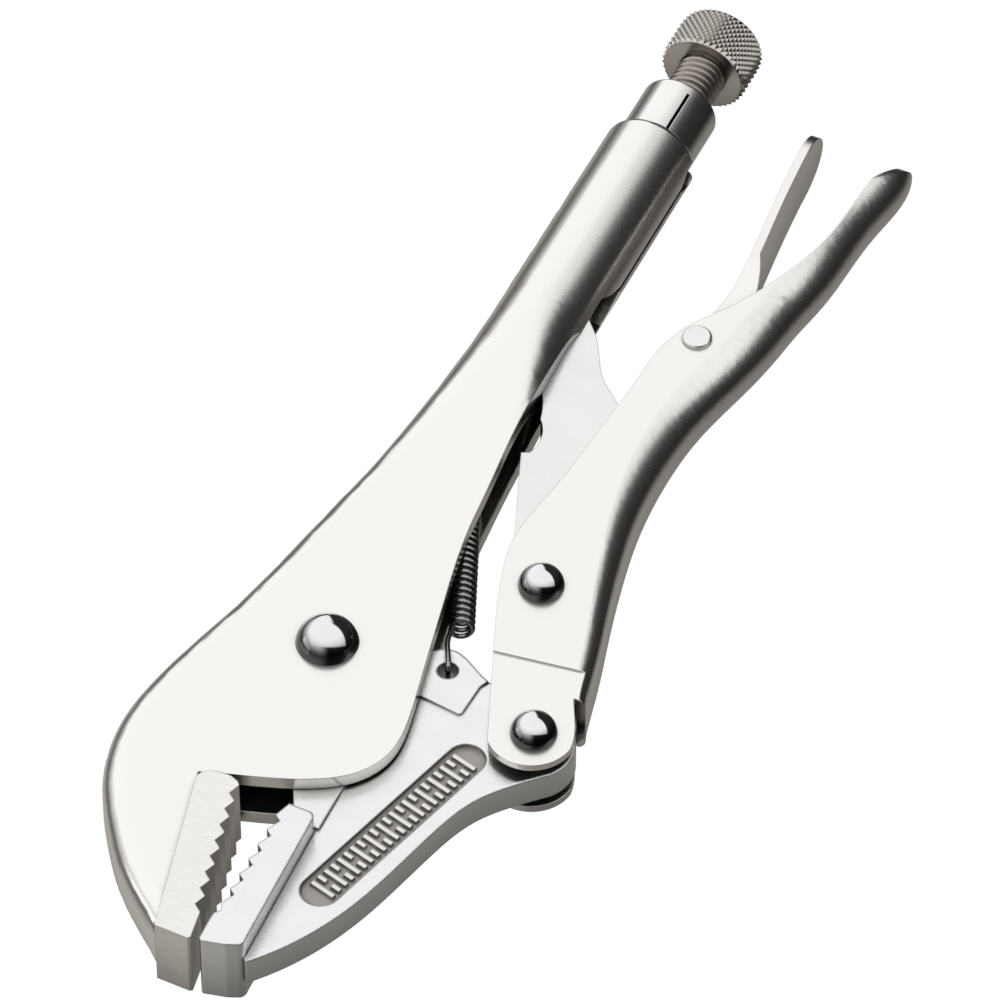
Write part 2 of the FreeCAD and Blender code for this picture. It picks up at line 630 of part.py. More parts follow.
# ---------------------------------------------------------------- rivets and pin
def rivet(name, where, shank, head, height, grip):
    """A rivet along Z: a shank and a domed head at each end, each a slice of a ball."""
    ball = f"((dims.{head})^2 + (dims.{height})^2) / (2 * dims.{height})"
    pieces = [round_bar(name + "_shank", where, f"dims.{shank}", f"-({grip}) / 2", f"({grip}) / 2")]
    for side, sign in (("near", 1), ("far", -1)):
        dome = doc.addObject("Part::Sphere", f"{name}_{side}_head")
        bind(dome, Radius=ball, Angle1=f"asin(1 - dims.{height} / ({ball}))",
             Placement__Base__x=where[0], Placement__Base__y=where[1],
             Placement__Base__z=f"{sign} * (({grip}) / 2 - ({ball}) + dims.{height})")
        if sign < 0:
            dome.Placement.Rotation = FreeCAD.Rotation(Vector(1, 0, 0), 180)
        pieces.append(dome)
    place(fuse(name, pieces), name)


def rivets():
    """The jaw's, the handle's and the link's rivets."""
    wide = "dims.channel_width + 2 * dims.joggle_depth"
    rivet("jaw_pivot_rivet", ("0", "0"), "jaw_shank_radius", "jaw_head_radius", "jaw_head_height",
          "dims.channel_width")
    rivet("handle_pivot_rivet", ("dims.handle_pivot_x", "dims.handle_pivot_y"), "small_shank_radius",
          "small_head_radius", "small_head_height", "dims.channel_width")
    rivet("link_pivot_rivet", ("dims.link_pivot_x", "dims.link_pivot_y"), "small_shank_radius",
          "small_head_radius", "small_head_height", wide)


def release_lever_pin():
    """A pin with a flat, soft-edged head on each cheek."""
    where = ("dims.lever_pin_x", "dims.lever_pin_y")
    half = "(dims.channel_width / 2 + dims.joggle_depth)"
    top = half + " + dims.lever_head_height"
    pieces = [round_bar("pin_shank", where, "dims.lever_shank_radius", f"-{half}", half),
              round_bar("pin_near_head", where, "dims.lever_head_radius", half, top),
              round_bar("pin_far_head", where, "dims.lever_head_radius", f"-({top})", f"-{half}")]
    joined = fuse("pin_blank", pieces)
    doc.recompute()
    outer = dim("channel_width") / 2 + dim("joggle_depth") + dim("lever_head_height")
    edges = [i for i, edge in enumerate(joined.Shape.Edges, start=1) if curved_at(outer)(edge)]
    rounded = doc.addObject("Part::Fillet", "release_lever_pin")
    rounded.Base = joined
    size = dim("lever_head_height") / 2
    rounded.Edges = [(index, size, size) for index in edges]
    place(rounded, "release_lever_pin")


# ---------------------------------------------------------------- adjusting screw, knob and sleeve
def soften_end(name, base, x, radius_of, size, feature="Part::Fillet"):
    """Round or chamfer the outer edge of a bar along X at the place x."""
    doc.recompute()
    chosen = [i for i, edge in enumerate(base.Shape.Edges, start=1)
              if edge.BoundBox.XLength < 1e-3 and abs(edge.BoundBox.XMin - x) < 1e-3
              and abs(edge.BoundBox.ZMax - radius_of) < 1e-3]
    result = doc.addObject(feature, name)
    result.Base = base
    result.Edges = [(index, size, size) for index in chosen]
    return result


def adjusting_screw():
    """The screw's rod, at the outside diameter of its thread."""
    rod = round_bar("screw_rod", True, "dims.screw_radius", "dims.screw_tip_x",
                    "dims.knob_start + dims.screw_in_knob")
    screw = soften_end("adjusting_screw", rod, dim("screw_tip_x"), dim("screw_radius"),
                       dim("screw_tip_chamfer"), "Part::Chamfer")
    place(screw, "adjusting_screw")


def screw_knob():
    """The knob's blank, with a blind bore that the screw's end is pressed in."""
    start, end = "dims.knob_start", "dims.knob_start + dims.knob_length"
    blank = round_bar("knob_blank", True, "dims.knob_radius", start, end)
    outer = soften_end("knob_outer_edge", blank, dim("knob_start") + dim("knob_length"),
                       dim("knob_radius"), dim("knob_edge_radius"))
    inner = soften_end("knob_inner_edge", outer, dim("knob_start"), dim("knob_radius"),
                       dim("knob_edge_radius") / 2)
    socket = round_bar("knob_socket", True, "dims.screw_radius + dims.running_clearance", start,
                       "dims.knob_start + dims.screw_in_knob + dims.running_clearance")
    place(subtract("screw_knob", inner, socket), "screw_knob")


def thread_sleeve():
    """A collar in the tube's end with a spigot inside the tube, bored for the screw."""
    collar = round_bar("sleeve_collar", True, "dims.sleeve_radius", "dims.tube_end", "dims.sleeve_end")
    softened = soften_end("sleeve_rim", collar, dim("sleeve_end"), dim("sleeve_radius"),
                          dim("sleeve_edge_radius"))
    spigot = round_bar("sleeve_spigot", True,
                       "dims.tube_end_radius - dims.sheet_thickness - dims.running_clearance",
                       "dims.sleeve_start", "dims.tube_end")
    thread = round_bar("sleeve_thread", True, "dims.screw_radius + dims.running_clearance",
                       "dims.sleeve_start", "dims.sleeve_end")
    slit = doc.addObject("Part::Box", "sleeve_slit")
    bind(slit, Length="dims.slit_end - dims.tube_end", Width="dims.slit_width", Height="dims.sleeve_radius",
         Placement__Base__x="dims.tube_end", Placement__Base__y="dims.slit_y - dims.slit_width / 2")
    bored = subtract("sleeve_bored", fuse("sleeve_blank", [softened, spigot]), thread)
    place(subtract("thread_sleeve", bored, slit), "thread_sleeve")


# ---------------------------------------------------------------- return spring
def wire(name, points):
    """Round wire through points, in straight runs with a ball at each bend."""
    pieces = []
    for index, (first, last) in enumerate(zip(points, points[1:])):
        run = last - first
        bar = doc.addObject("Part::Cylinder", f"{name}_run_{index}")
        bar.Placement = FreeCAD.Placement(first, FreeCAD.Rotation(UP, run))
        bar.Height = run.Length
        bind(bar, Radius="dims.spring_wire_radius")
        pieces.append(bar)
        if index:
            ball = doc.addObject("Part::Sphere", f"{name}_bend_{index}")
            ball.Placement.Base = first
            bind(ball, Radius="dims.spring_wire_radius")
            pieces.append(ball)
    return pieces


def return_spring():
    """The coil as a thick-walled tube, with a hook in the jaw's tail and one in the handle's tab."""
    front, back = Vector(17.6, -18.6, 0), Vector(50.0, -4.9, 0)
    run = back - front
    turn = FreeCAD.Rotation(UP, run)
    coil = doc.addObject("Part::Cylinder", "coil_outside")
    hollow = doc.addObject("Part::Cylinder", "coil_inside")
    for cylinder in (coil, hollow):
        cylinder.Placement = FreeCAD.Placement(front, turn)
        cylinder.Height = run.Length
    bind(coil, Radius="dims.spring_radius")
    bind(hollow, Radius="dims.spring_radius - 2 * dims.spring_wire_radius")
    tube = subtract("coil", coil, hollow)
    hole = Vector(dim("spring_hole_x"), dim("spring_hole_y"), 0)
    anchor = Vector(dim("spring_anchor_x"), dim("spring_anchor_y"), 0)
    reach = dim("spring_radius") - 1.8 * dim("spring_wire_radius")
    over = dim("plate_thickness") / 2 + dim("hook_clearance")
    over_tab = dim("sheet_thickness") / 2 + dim("hook_clearance")
    inside = (back - front).normalize() * dim("hook_start")
    near = wire("jaw_hook", [front + inside + UP * reach, Vector(11.6, -19.6, over),
                             hole + UP * over, hole - UP * over])
    far = wire("tab_hook", [back - inside + UP * reach, anchor + UP * over_tab, anchor - UP * over_tab])
    place(fuse("return_spring", [tube, *near, *far]), "return_spring")


fixed_handle()
fixed_jaw()
moving_jaw()
moving_handle()
toggle_link()
release_lever()
rivets()
release_lever_pin()
adjusting_screw()
screw_knob()
thread_sleeve()
return_spring()
doc.recompute()

# ---------------------------------------------------------------- check and write
for thing in doc.Objects:
    if "Invalid" in thing.State or "Error" in thing.State:
        raise RuntimeError(f"{thing.Name} failed: {thing.State}")
for part in subparts:
    if part.Shape.isNull() or not part.Shape.isValid() or not part.Shape.Solids:
        raise RuntimeError(f"{part.Label} has no valid solid")
os.makedirs("parts", exist_ok=True)
for part in subparts:
    part.Shape.exportStep(f"parts/{part.Label}.step")
    print(part.Label, len(part.Shape.Solids), round(part.Shape.Volume))
whole = Part.makeCompound([part.Shape for part in subparts]).BoundBox
print("box", whole)
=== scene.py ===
"""Looks for the locking pliers: the metal finishes, the light, and the pieces that the frame only
blocks out, which are the knurled knob, the screw's thread, the return spring and the bars in the
moving jaw's recesses.

Shapes are given in millimetres from the jaw rivet's middle, as in the CAD source; DATUM moves them
to the row.
"""
import math

import bpy
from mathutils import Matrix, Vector


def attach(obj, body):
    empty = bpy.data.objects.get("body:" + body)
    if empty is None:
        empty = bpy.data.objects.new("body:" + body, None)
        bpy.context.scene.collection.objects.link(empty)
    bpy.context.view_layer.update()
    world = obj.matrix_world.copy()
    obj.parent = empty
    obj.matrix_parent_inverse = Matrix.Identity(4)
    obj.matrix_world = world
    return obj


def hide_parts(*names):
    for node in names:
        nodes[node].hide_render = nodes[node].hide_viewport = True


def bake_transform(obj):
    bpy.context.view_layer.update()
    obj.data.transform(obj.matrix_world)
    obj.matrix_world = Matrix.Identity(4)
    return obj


MM = 0.001
DATUM = Vector((-52.1, 12.05, 11.5))
UP = Vector((0, 0, 1))

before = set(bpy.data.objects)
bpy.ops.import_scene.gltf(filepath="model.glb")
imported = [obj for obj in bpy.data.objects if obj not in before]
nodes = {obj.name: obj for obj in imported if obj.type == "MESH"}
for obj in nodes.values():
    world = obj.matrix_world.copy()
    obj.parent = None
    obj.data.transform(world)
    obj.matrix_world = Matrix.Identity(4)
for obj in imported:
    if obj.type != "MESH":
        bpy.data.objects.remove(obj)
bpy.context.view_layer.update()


# ---------------------------------------------------------------- helpers for shapes
def in_row(point):
    """A point in millimetres from the jaw rivet, as metres in the row frame."""
    return (Vector(point) + DATUM) * MM


def mesh_piece(name, points, faces, smooth=True):
    """A mesh object of its own from points in millimetres."""
    mesh = bpy.data.meshes.new(name)
    mesh.from_pydata([in_row(point) for point in points], [], faces)
    mesh.update()
    for polygon in mesh.polygons:
        polygon.use_smooth = smooth
    piece = bpy.data.objects.new(name, mesh)
    bpy.context.scene.collection.objects.link(piece)
    return piece


def ring_faces(first, second, count):
    """Quads between two rings of points that start at these numbers."""
    faces = []
    for i in range(count):
        following = (i + 1) % count
        faces.append((first + i, first + following, second + following, second + i))
    return faces


def turned(name, rings, smooth=True, groove_diagonals=False):
    """A closed surface round the tube's axis. A ring is (x, [radius at each step round])."""
    count = len(rings[0][1])
    points, faces = [], []
    for x, radii in rings:
        for step, radius in enumerate(radii):
            turn = 2 * math.pi * step / count
            points.append((x, radius * math.cos(turn), radius * math.sin(turn)))
    for row in range(len(rings) - 1):
        for index, (a, b, c, d) in enumerate(ring_faces(row * count, (row + 1) * count, count)):
            if not groove_diagonals:
                faces.append((a, b, c, d))
            elif (row + index) % 2 == 0:
                faces += [(a, b, c), (a, c, d)]
            else:
                faces += [(a, b, d), (b, c, d)]
    for row, order in ((0, -1), (len(rings) - 1, 1)):
        points.append((rings[row][0], 0, 0))
        start = row * count
        for i in range(count):
            pair = (start + i, start + (i + 1) % count)[::order]
            faces.append((*pair, len(points) - 1))
    return mesh_piece(name, points, faces, smooth)


def swept(name, path, radius, sides):
    """Round wire along a path of points."""
    points, faces = [], []
    side = UP.cross(path[1] - path[0]).normalized()
    for i, at in enumerate(path):
        ahead = (path[min(i + 1, len(path) - 1)] - path[max(i - 1, 0)]).normalized()
        side = (side - ahead * side.dot(ahead)).normalized()
        other = ahead.cross(side)
        for step in range(sides):
            turn = 2 * math.pi * step / sides
            points.append(at + (side * math.cos(turn) + other * math.sin(turn)) * radius)
        if i:
            faces += ring_faces((i - 1) * sides, i * sides, sides)
    faces.append(tuple(reversed(range(sides))))
    faces.append(tuple(range((len(path) - 1) * sides, len(path) * sides)))
    return mesh_piece(name, points, faces)


def curve_through(points, steps):
    """Points along a smooth curve through the given ones."""
    found = []
    ends = [2 * points[0] - points[1], *points, 2 * points[-1] - points[-2]]
    for a, b, c, d in zip(ends, ends[1:], ends[2:], ends[3:]):
        for step in range(steps):
            t = step / steps
            found.append(0.5 * (2 * b + (c - a) * t + (2 * a - 5 * b + 4 * c - d) * t * t
                                + (3 * b - a - 3 * c + d) * t ** 3))
    return [*found, points[-1]]


# ---------------------------------------------------------------- helpers for materials
class Shader:
    """A node tree under construction."""

    def __init__(self, tree):
        self.tree = tree
        tree.nodes.clear()

    def node(self, kind, inputs=(), **settings):
        made = self.tree.nodes.new("ShaderNode" + kind)
        for name, value in settings.items():
            setattr(made, name, value)
        for key, value in dict(inputs).items():
            if isinstance(value, bpy.types.NodeSocket):
                self.tree.links.new(value, made.inputs[key])
            else:
                made.inputs[key].default_value = value
        return made

    def maths(self, operation, first, second=0.0):
        return self.node("Math", {0: first, 1: second}, operation=operation).outputs[0]

    def ramp(self, value, low, high, to_low=0.0, to_high=1.0):
        """The value eased from one range to another."""
        inputs = {"Value": value, "From Min": low, "From Max": high, "To Min": to_low, "To Max": to_high}
        return self.node("MapRange", inputs, interpolation_type="SMOOTHSTEP").outputs[0]

    def along(self, vector, direction):
        """How far a vector reaches in a direction."""
        inputs = {0: vector, 1: direction}
        return self.node("VectorMath", inputs, operation="DOT_PRODUCT").outputs["Value"]

    def noise(self, vector, scale, detail=2.0, stretch=(1, 1, 1)):
        """Soft noise, 0 to 1, with so many lumps in a metre."""
        sized = self.node("VectorMath", {0: vector, 1: stretch}, operation="MULTIPLY").outputs[0]
        inputs = {"Vector": sized, "Scale": scale, "Detail": detail}
        return self.node("TexNoise", inputs).outputs[0]


# Where the fixed handle's tube is round, along the tool from the jaw rivet.
TUBE_START, TUBE_END, TUBE_EASE = 92.0, 141.6, 8.0
# A face belongs to the tube's outside when it points this much straight out from the axis.
OUTSIDE = 0.96


def tube_normal(shader, place, otherwise):
    """The direction straight out from the tube's axis on the tube's outside, and the other elsewhere."""
    axis_point = in_row((0, 0, 0))
    from_axis = shader.node("VectorMath", {0: place, 1: axis_point}, operation="SUBTRACT").outputs[0]
    square = shader.node("VectorMath", {0: from_axis, 1: (0, 1, 1)}, operation="MULTIPLY").outputs[0]
    outward = shader.node("VectorMath", {0: square}, operation="NORMALIZE").outputs[0]
    geometric = shader.node("NewGeometry").outputs["Normal"]
    mask = shader.maths("GREATER_THAN", shader.along(outward, geometric), OUTSIDE)
    along = shader.along(from_axis, Vector((1, 0, 0)))
    started = shader.ramp(along, TUBE_START * MM, (TUBE_START + TUBE_EASE) * MM)
    mask = shader.maths("MULTIPLY", mask, started)
    mask = shader.maths("MULTIPLY", mask, shader.maths("LESS_THAN", along, TUBE_END * MM))
    mixed = shader.node("MixRGB", {0: mask, 1: otherwise, 2: outward}).outputs[0]
    return shader.node("VectorMath", {0: mixed}, operation="NORMALIZE").outputs[0]


# The recess runs between these two points of the moving jaw's arm, with a floor this far from the
# middle plane, and the mask on its floor reaches this far along it and across it.
RECESS_REAR = Vector((-12.1, -33.4, 0))
RECESS_FRONT = Vector((-50.2, -22.9, 0))
RECESS_FLOOR = 2.15
MASK_ALONG, MASK_ACROSS = 23.4, 3.75


def recess_mask(shader, place):
    """1 on the floors of the two recesses, 0 elsewhere."""
    middle = in_row((RECESS_REAR + RECESS_FRONT) / 2)
    run = (RECESS_FRONT - RECESS_REAR).normalized()
    from_middle = shader.node("VectorMath", {0: place, 1: middle}, operation="SUBTRACT").outputs[0]
    mask = 1.0
    for direction, reach in ((run, MASK_ALONG), (run.cross(UP), MASK_ACROSS), (UP, RECESS_FLOOR + 0.1)):
        distance = shader.maths("ABSOLUTE", shader.along(from_middle, direction))
        within = shader.maths("LESS_THAN", distance, reach * MM)
        mask = shader.maths("MULTIPLY", within, mask)
    return mask


# Painted shade: upright faces darken towards the bench, from this height over it down to this one, and
# from this share of their brightness to that one.
HIGHEST_SHADE, LOWEST_SHADE = 18.0, 0.0
TOP_SHADE, BENCH_SHADE = 0.76, 0.38
# Grinding lines lie close along the jaws and run on across them.
LINES_IN_A_METRE, LINES_ACROSS = 900, (3.0, 0.25, 1.0)
DRAWN_GRAIN_IN_A_METRE = 900
GRAIN_DEPTH = 0.05
BEVEL_SAMPLES, CORNER_SAMPLES = 6, 8
RECESS_COLOUR, RECESS_ROUGHNESS = (0.42, 0.40, 0.38, 1), 0.45
# The colour of the painted shade in corners.
CORNER_SHADE_COLOUR = (0.08, 0.07, 0.06, 1)


def metal(name, colour, roughness, grain=0.0, grain_scale=2200, scratch=0.0, stretch=(1, 1, 1),
          edge=0.0, mottle=0.0, dark_floor=False, corner_shade=0.45, corner_shade_reach=2.5, streak=0.0,
          painted_side_shade=0.0, round_tube=False):
    """A metal finish. Grain is a fine orange peel, scratch a grain drawn out along one way, edge the
    softness of sharp edges in millimetres and mottle a slow change of roughness. The corner shade is
    painted shade, how dark it gets in corners within so many millimetres; streak is how far fine lines
    across the piece darken it, and the side shade is painted shade, how far it darkens away from its top.
    Dark_floor dulls the recesses' floors, and round_tube shades the fixed handle's tube as the true cone
    that its facets stand for."""
    made = bpy.data.materials.new(name)
    made.use_nodes = True
    shader = Shader(made.node_tree)
    place = shader.node("TexCoord").outputs["Object"]
    tint = shader.node("RGB")
    tint.outputs[0].default_value = (*colour, 1)
    base = tint.outputs[0]
    rough = shader.ramp(shader.noise(place, 140, 3), 0.3, 0.7, roughness - mottle, roughness + mottle)
    normal = None
    if edge:
        normal = shader.node("Bevel", {"Radius": edge * MM}, samples=BEVEL_SAMPLES).outputs[0]
    if round_tube:
        normal = tube_normal(shader, place, normal)
    grains = ((grain, grain_scale, (1, 1, 1)), (scratch, DRAWN_GRAIN_IN_A_METRE, stretch))
    for strength, lumps, drawn in grains:
        if strength:
            bumps = shader.noise(place, lumps, 3, drawn)
            inputs = {"Strength": strength, "Distance": GRAIN_DEPTH * MM, "Height": bumps}
            if normal:
                inputs["Normal"] = normal
            normal = shader.node("Bump", inputs).outputs[0]
    if dark_floor:
        inside = recess_mask(shader, place)
        base = shader.node("MixRGB", {0: inside, 1: base, 2: RECESS_COLOUR}).outputs[0]
        rough = shader.maths("MAXIMUM", rough, shader.maths("MULTIPLY", inside, RECESS_ROUGHNESS))

    geometric = shader.node("NewGeometry").outputs["Normal"]
    facing_up = shader.maths("ABSOLUTE", shader.along(geometric, UP))
    # Painted shade: upright faces get darker nearer the bench.
    shade = shader.ramp(shader.along(place, UP), LOWEST_SHADE * MM, HIGHEST_SHADE * MM,
                        1 - BENCH_SHADE, 1 - TOP_SHADE)
    shade = shader.maths("MULTIPLY", shade, shader.ramp(facing_up, 0.2, 0.8, 1.0, 0.0))
    # The brightness left after the painted shade; the grinding lines and the painted side shade multiply
    # into it.
    light = shader.maths("SUBTRACT", 1.0, shade)
    if streak:
        lines = shader.noise(place, LINES_IN_A_METRE, 2, LINES_ACROSS)
        light = shader.maths("MULTIPLY", light, shader.ramp(lines, 0.35, 0.65, 1 - streak, 1.0))
    # Painted shade: the colour darkens where a face turns away from straight up, as on the rivets' domes.
    if painted_side_shade:
        light = shader.maths("MULTIPLY", light, shader.ramp(facing_up, 0.5, 0.86, 1 - painted_side_shade, 1.0))
    base = shader.node("VectorMath", {0: base, "Scale": light}, operation="SCALE").outputs[0]

    # Painted shade: the colour darkens in corners, where other faces close in within the reach.
    openness = shader.node("AmbientOcclusion", {"Distance": corner_shade_reach * MM}, samples=CORNER_SAMPLES)
    in_corner = shader.ramp(openness.outputs["AO"], 0.25, 0.9, 1.0, 0.0)
    painted_corner_shade = shader.maths("MULTIPLY", in_corner, corner_shade)
    base = shader.node("MixRGB", {0: painted_corner_shade, 1: base, 2: CORNER_SHADE_COLOUR}).outputs[0]
    inputs = {"Base Color": base, "Metallic": 1.0, "Roughness": rough}
    if normal:
        inputs["Normal"] = normal
    surface = shader.node("BsdfPrincipled", inputs).outputs[0]
    shader.node("OutputMaterial", {"Surface": surface})
    return made


def finish_with(piece, material):
    """Give a piece one material, in every slot it has."""
    if piece.data.materials:
        for i in range(len(piece.data.materials)):
            piece.data.materials[i] = material
    else:
        piece.data.materials.append(material)


# ---------------------------------------------------------------- finishes
sheet = metal("plated_sheet", (0.91, 0.89, 0.86), 0.23, grain=0.15, edge=0.35, corner_shade=0.7, corner_shade_reach=5)
tubular = metal("plated_tube", (0.91, 0.89, 0.86), 0.2, grain=0.2, edge=0.35, corner_shade=0.7, corner_shade_reach=5,
                round_tube=True)
plate = metal("plated_plate", (0.86, 0.86, 0.85), 0.27, grain=0.35, mottle=0.03, edge=0.2)
forged = metal("forged_jaw", (0.86, 0.865, 0.86), 0.26, grain=0.45, grain_scale=1500, mottle=0.04,
               edge=0.75, dark_floor=True, corner_shade=0.9, corner_shade_reach=2)
ground = metal("ground_jaw", (0.90, 0.88, 0.85), 0.30, scratch=1.0, stretch=(3, 0.2, 1), edge=0.35,
               streak=0.06)
mirror = metal("polished_rivet", (0.82, 0.82, 0.82), 0.09, corner_shade=0.9, corner_shade_reach=2, painted_side_shade=0.85)
bright = metal("polished_sleeve", (0.90, 0.89, 0.87), 0.18, edge=0.15)
steel = metal("screw_steel", (0.46, 0.42, 0.38), 0.30, grain=0.2, edge=0.08, corner_shade=0.9, corner_shade_reach=1.4)
wire = metal("spring_wire", (0.36, 0.35, 0.34), 0.22, corner_shade=0.9, corner_shade_reach=0.8)

FINISHES = {
    tubular: ("fixed_handle",),
    sheet: ("moving_handle", "release_lever"),
    plate: ("toggle_link", "release_lever_pin"),
    forged: ("moving_jaw",),
    ground: ("fixed_jaw",),
    mirror: ("jaw_pivot_rivet", "handle_pivot_rivet", "link_pivot_rivet"),
    bright: ("thread_sleeve",),
    steel: ("adjusting_screw", "screw_knob"),
    wire: ("return_spring",),
}
for material, names in FINISHES.items():
    for name in names:
        finish_with(nodes[name], material)


# ---------------------------------------------------------------- knurled knob
KNOB_START, KNOB_END, KNOB_RADIUS = 167.3, 177.3, 8.9
KNURLS_ROUND, KNURL_ROWS, KNURL_DEPTH = 42, 14, 0.5
# The knurled rows stop this far short of each end.
ROW_INSET = 0.05
FRONT_ROUNDING, END_ROUNDING = 1.1, 1.3
# The knob's end is a shallow dish inside this rim.
DISH_DEPTH, DISH_RIM, DISH_SLOPE = 0.25, 1.9, 0.7
BORE_RADIUS, BORE_END = 4.95, 174.35


def rounded_radius(x):
    """The knob's outline with its rounded edges."""
    for end, size in ((KNOB_START, FRONT_ROUNDING), (KNOB_END, END_ROUNDING)):
        inside = abs(x - end)
        if inside < size:
            return KNOB_RADIUS - size + math.sqrt(max(size ** 2 - (size - inside) ** 2, 0.0))
    return KNOB_RADIUS


def knurled_knob():
    """Crossed grooves leave rows of small pyramids; the face towards the tube is plain, with the bore."""
    count = 2 * KNURLS_ROUND
    rings = [(BORE_END, [BORE_RADIUS] * count), (KNOB_START, [BORE_RADIUS] * count),
             (KNOB_START, [KNOB_RADIUS - FRONT_ROUNDING] * count)]
    for row in range(KNURL_ROWS + 1):
        x = KNOB_START + ROW_INSET + (KNOB_END - KNOB_START - 2 * ROW_INSET) * row / KNURL_ROWS
        outline = rounded_radius(x)
        depth = KNURL_DEPTH if 0 < row < KNURL_ROWS else 0
        rings.append((x, [outline - depth * ((row + step) % 2 == 1) for step in range(count)]))
    rings.append((KNOB_END, [KNOB_RADIUS - DISH_RIM] * count))
    rings.append((KNOB_END - DISH_DEPTH, [KNOB_RADIUS - DISH_RIM - DISH_SLOPE] * count))
    knob = turned("knurled_knob", rings, smooth=False, groove_diagonals=True)
    finish_with(knob, knob_metal)
    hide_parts("screw_knob")
    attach(knob, "screw_knob")


# ---------------------------------------------------------------- adjusting screw
SCREW_START, SCREW_END, SCREW_RADIUS = 105.6, 174.3, 4.9
THREAD_PITCH, THREAD_DEPTH = 1.5, 0.8
TIP_CHAMFER = 1.0
# The crest takes this share of half a turn, and the flank falls to the root over this one.
CREST, SLOPE = 0.15, 0.75


def threaded_rod():
    """A right-hand V thread with blunt crests, run out in a chamfer at the tip."""
    count, per_turn = 48, 10
    rows = round((SCREW_END - SCREW_START) / THREAD_PITCH * per_turn)
    rings = []
    for row in range(rows + 1):
        x = SCREW_START + (SCREW_END - SCREW_START) * row / rows
        limit = SCREW_RADIUS - max(0.0, TIP_CHAMFER - (x - SCREW_START))
        radii = []
        for step in range(count):
            phase = (x / THREAD_PITCH - step / count) % 1.0
            groove = min(max((1 - abs(2 * phase - 1) - CREST) / SLOPE, 0.0), 1.0)
            radii.append(min(SCREW_RADIUS - THREAD_DEPTH * groove, limit))
        rings.append((x, radii))
    rod = turned("threaded_rod", rings)
    finish_with(rod, steel)
    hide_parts("adjusting_screw")
    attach(rod, "adjusting_screw")


# ---------------------------------------------------------------- return spring
SPRING_FRONT = Vector((17.6, -18.6, 0))
SPRING_BACK = Vector((50.0, -4.9, 0))
JAW_HOLE = Vector((5.2, -21.7, 0))
TAB_HOLE = Vector((58.0, 0.5, 0))
WIRE_RADIUS, COIL_RADIUS, COIL_TURNS = 0.5, 2.0, 24
POINTS_A_TURN = 20
# The share of a turn by which the coil's start is turned towards the tool's back.
START_TURN = 1 / 7


def return_spring():
    """A slightly open coil with a hook at each end, through the jaw's hole and the tab's."""
    run = (SPRING_BACK - SPRING_FRONT).normalized()
    side = UP.cross(run)
    length = (SPRING_BACK - SPRING_FRONT).length
    steps = COIL_TURNS * POINTS_A_TURN
    coil = []
    for step in range(steps + 1):
        turn = 2 * math.pi * (COIL_TURNS * step / steps + START_TURN)
        out = UP * math.cos(turn) + side * math.sin(turn)
        coil.append(SPRING_FRONT + run * (length * step / steps) + out * COIL_RADIUS)
    jaw_hook = [JAW_HOLE - UP * 4.0 - run * 0.8, JAW_HOLE, JAW_HOLE + UP * 3.6 + run * 0.2,
                JAW_HOLE + UP * 4.4 + run * 1.8, JAW_HOLE.lerp(coil[0], 0.6) + UP * 2.2 + side * 0.6,
                coil[0]]
    tab_hook = [coil[-1], SPRING_BACK + UP * 2.4 + run * 2.6, TAB_HOLE + UP * 2.1 - run * 1.0,
                TAB_HOLE + UP * 1.4, TAB_HOLE - UP * 1.8]
    path = [*curve_through(jaw_hook, 8)[:-1], *coil, *curve_through(tab_hook, 8)[1:]]
    spring = swept("coil_spring", path, WIRE_RADIUS, 10)
    finish_with(spring, wire)
    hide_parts("return_spring")
    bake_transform(spring)


# ---------------------------------------------------------------- bars in the recesses
RIB_COUNT, RIB_PITCH = 23, 1.75
RIB_REACH, RIB_HALF_WIDTH, RIB_GAP = 2.7, 0.56, 0.55
# A bar starts this far under the floor, rises this far over it and narrows by this much.
RIB_ROOT, RIB_RISE, RIB_TAPER = 0.1, 0.65, 0.15
BOX_FACES = ((0, 1, 5, 4), (1, 2, 6, 5), (2, 3, 7, 6), (3, 0, 4, 7), (4, 5, 6, 7), (3, 2, 1, 0))


def recess_ribs():
    """Plain raised bars across both recess floors, every second one in two halves."""
    run = (RECESS_FRONT - RECESS_REAR).normalized()
    across = UP.cross(run)
    middle = (RECESS_REAR + RECESS_FRONT) / 2
    points, faces = [], []
    for side in (1, -1):
        for index in range(RIB_COUNT):
            centre = middle + run * RIB_PITCH * (index - (RIB_COUNT - 1) / 2)
            halves = [(-RIB_REACH, -RIB_GAP), (RIB_GAP, RIB_REACH)]
            for low, high in halves if index % 2 else [(-RIB_REACH, RIB_REACH)]:
                start = len(points)
                for height, inset in ((RECESS_FLOOR - RIB_ROOT, 0.0), (RECESS_FLOOR + RIB_RISE, RIB_TAPER)):
                    ahead = RIB_HALF_WIDTH - inset
                    corners = ((ahead, high - inset), (ahead, low + inset), (-ahead, low + inset),
                               (-ahead, high - inset))
                    points += [centre + run * x + across * y + UP * height * side for x, y in corners]
                for quad in BOX_FACES:
                    order = quad if side < 0 else quad[::-1]
                    faces.append(tuple(start + i for i in order))
    ribs = mesh_piece("recess_ribs", points, faces, smooth=False)
    finish_with(ribs, rib_metal)
    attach(ribs, "moving_jaw")


knob_metal = metal("knob_metal", (0.62, 0.59, 0.55), 0.22, grain=0.1, edge=0.05, corner_shade=0.97,
                   corner_shade_reach=1.4)
rib_metal = metal("rib_metal", (0.80, 0.79, 0.77), 0.3, grain=0.4, grain_scale=1500, edge=0.2, corner_shade=0.9,
                  corner_shade_reach=0.8)
knurled_knob()
threaded_rod()
return_spring()
recess_ribs()


# ---------------------------------------------------------------- light
# Directions over the ground: away from the camera, and to the right of the picture.
AWAY = Vector((0.9067, 0.4218, 0))
RIGHT = Vector((0.4218, -0.9067, 0))

